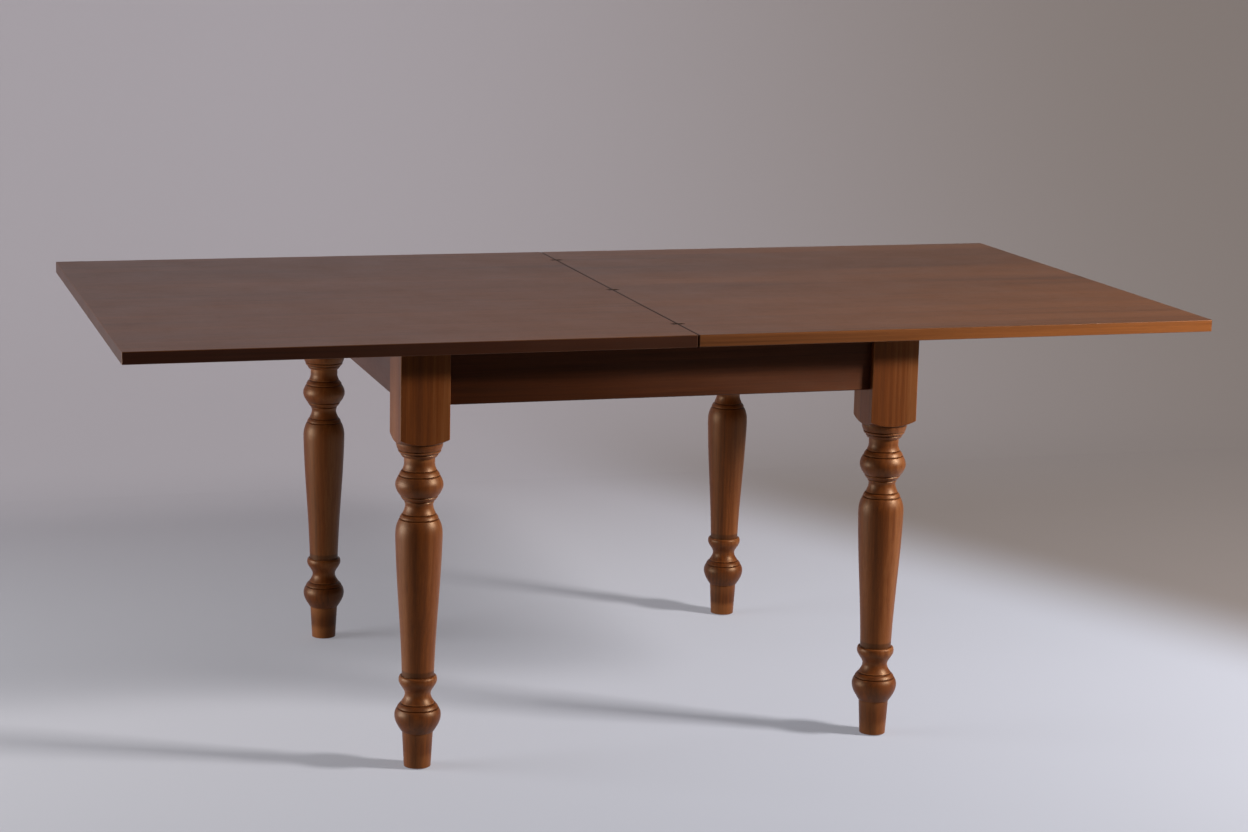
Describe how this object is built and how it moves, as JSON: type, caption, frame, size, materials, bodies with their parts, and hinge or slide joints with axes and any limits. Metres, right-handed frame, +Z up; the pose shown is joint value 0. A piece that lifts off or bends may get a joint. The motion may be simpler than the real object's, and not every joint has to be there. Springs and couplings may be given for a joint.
{
  "type": "flip top dining table",
  "caption": "Wooden dining table with turned legs; its top slides over the frame and one leaf folds over on link hinges, so the table is long when open and square when closed.",
  "frame": {"origin": "on the floor, under the middle of the seam between the two leaves", "axes": "+X along the open top towards the flip leaf, +Y to the back, +Z up"},
  "size_m": [2.002, 1.05, 0.78],
  "materials": {
    "top_wood": "satin lacquer on red-brown stained wood, grain along the length",
    "turned_wood": "satin lacquer on red-brown stained wood, grain along the leg",
    "apron_wood": "satin lacquer on dark red-brown stained wood",
    "frame_wood": "plain planed hardwood",
    "bronze": "dark bronzed, satin",
    "steel": "zinc plated",
    "felt": "pressed brown felt",
    "rubber": "matt black",
    "glide": "matt brown nylon"
  },
  "bodies": {
    "frame": {"leg_front_left": "turned_wood", "glide_front_left": "glide", "corner_block_front_left": "frame_wood", "hanger_bolt_front_left": "steel", "flange_nut_front_left": "steel", "leg_front_right": "turned_wood", "glide_front_right": "glide", "corner_block_front_right": "frame_wood", "hanger_bolt_front_right": "steel", "flange_nut_front_right": "steel", "leg_back_right": "turned_wood", "glide_back_right": "glide", "corner_block_back_right": "frame_wood", "hanger_bolt_back_right": "steel", "flange_nut_back_right": "steel", "leg_back_left": "turned_wood", "glide_back_left": "glide", "corner_block_back_left": "frame_wood", "hanger_bolt_back_left": "steel", "flange_nut_back_left": "steel", "apron_front": "apron_wood", "felt_strip_front": "felt", "apron_right": "apron_wood", "felt_strip_right": "felt", "apron_back": "apron_wood", "felt_strip_back": "felt", "apron_left": "apron_wood", "felt_strip_left": "felt", "slide_rail_front": "frame_wood", "stop_bumper_front_left": "rubber", "stop_bumper_front_right": "rubber", "slide_rail_back": "frame_wood", "stop_bumper_back_left": "rubber", "stop_bumper_back_right": "rubber"},
    "sliding_top": {"runner_front": "frame_wood", "runner_screw_front_left": "steel", "runner_screw_front_right": "steel", "runner_back": "frame_wood", "runner_screw_back_left": "steel", "runner_screw_back_right": "steel", "sliding_leaf": "top_wood", "hinge_cup_front_sliding": "bronze", "hinge_pin_front_sliding": "steel", "hinge_cup_middle_sliding": "bronze", "hinge_pin_middle_sliding": "steel", "hinge_cup_back_sliding": "bronze", "hinge_pin_back_sliding": "steel"},
    "hinge_links": {"hinge_link_front": "bronze", "hinge_link_middle": "bronze", "hinge_link_back": "bronze"},
    "folding_leaf": {"flip_leaf": "top_wood", "hinge_cup_front_flip": "bronze", "hinge_pin_front_flip": "steel", "hinge_cup_middle_flip": "bronze", "hinge_pin_middle_flip": "steel", "hinge_cup_back_flip": "bronze", "hinge_pin_back_flip": "steel"}
  },
  "joints": [
    {"name": "top_slide", "type": "slide", "parent": "frame", "child": "sliding_top", "axis": [1, 0, 0], "range_m": [0, 0.459]},
    {"name": "link_fold", "type": "hinge", "parent": "sliding_top", "child": "hinge_links", "pos_m": [-0.005, 0, 0.776], "axis": [0, -1, 0], "range_deg": [0, 90]},
    {"name": "leaf_fold", "type": "hinge", "parent": "hinge_links", "child": "folding_leaf", "pos_m": [0.005, 0, 0.776], "axis": [0, -1, 0], "range_deg": [0, 90]}
  ]
}
